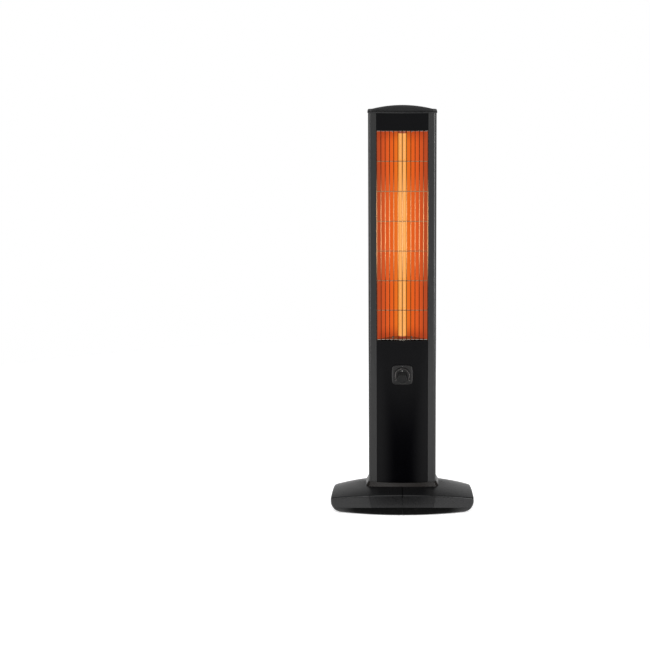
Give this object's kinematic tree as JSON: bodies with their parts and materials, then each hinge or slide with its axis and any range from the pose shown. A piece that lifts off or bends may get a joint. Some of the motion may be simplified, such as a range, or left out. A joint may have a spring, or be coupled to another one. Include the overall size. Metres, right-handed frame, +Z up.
{
  "type": "infrared patio heater tower",
  "caption": "Free-standing infrared heater tower: a glowing quartz tube behind a wire guard, a power dial, and a winged base with a tip-over switch.",
  "frame": {"origin": "on the floor, at the middle of the base's overall width and depth", "axes": "+Z up along the tower, front of the heater towards -Y, +X to the viewer's right"},
  "size_m": [0.3532, 0.1912, 1],
  "materials": {
    "painted_aluminium": "satin",
    "gloss_black": "gloss",
    "cap_black": "gloss",
    "base_black": "gloss, grained below the skirt line",
    "collar_black": "gloss",
    "rear_steel": "satin",
    "guard_wire": "polished",
    "reflector_aluminium": "polished",
    "plated_steel": "zinc plated",
    "glowing_quartz": "glowing when switched on",
    "hot_filament": "glowing when switched on",
    "ceramic_white": "matt",
    "brass": "turned",
    "screw_steel": "zinc plated",
    "phenolic_brown": "matt",
    "bezel_grey": "satin",
    "knob_grey": "satin, with a white pointer dot",
    "ballast_steel": "black paint",
    "foot_rubber": "matt",
    "gland_rubber": "matt",
    "switch_plastic": "matt",
    "block_white": "matt",
    "lead_silicone": "matt"
  },
  "bodies": {
    "tower": {"ballast_plate": "ballast_steel", "base_collar": "collar_black", "base_half_left": "base_black", "base_half_right": "base_black", "base_screws": "screw_steel", "cable_gland": "gland_rubber", "column_screws": "screw_steel", "dial_bezel": "bezel_grey", "earth_screw": "screw_steel", "end_plate_lower": "plated_steel", "end_plate_upper": "plated_steel", "filament": "hot_filament", "frame_screws": "screw_steel", "heat_shield": "plated_steel", "lamp_socket_lower": "ceramic_white", "lamp_socket_upper": "ceramic_white", "lower_front_panel": "gloss_black", "lower_lead": "lead_silicone", "plunger_spring": "screw_steel", "power_regulator": "phenolic_brown", "quartz_tube": "glowing_quartz", "rear_cover": "rear_steel", "reflector": "reflector_aluminium", "regulator_nut": "plated_steel", "rubber_feet": "foot_rubber", "side_profile_left": "painted_aluminium", "side_profile_right": "painted_aluminium", "socket_screws": "screw_steel", "supply_lead": "lead_silicone", "terminal_block": "block_white", "terminal_pins": "brass", "thermal_cutout": "phenolic_brown", "tip_switch_body": "switch_plastic", "top_cap": "cap_black", "top_plate": "plated_steel", "upper_front_panel": "gloss_black", "upper_lead": "lead_silicone", "wire_guard": "guard_wire"},
    "knob": {"control_knob": "knob_grey", "regulator_shaft": "plated_steel"},
    "plunger": {"tip_plunger": "switch_plastic"}
  },
  "joints": [
    {"name": "knob_turn", "type": "hinge", "parent": "tower", "child": "knob", "pos_m": [0, -0.0436, 0.344], "axis": [0, -1, 0], "range_deg": [-135, 135]},
    {"name": "plunger_slide", "type": "slide", "parent": "tower", "child": "plunger", "axis": [0, 0, -1], "range_m": [-0.0012, 0.006], "stiffness_N_per_m": 120, "springref_m": 0.0085, "deforming": ["plunger_spring"]}
  ]
}
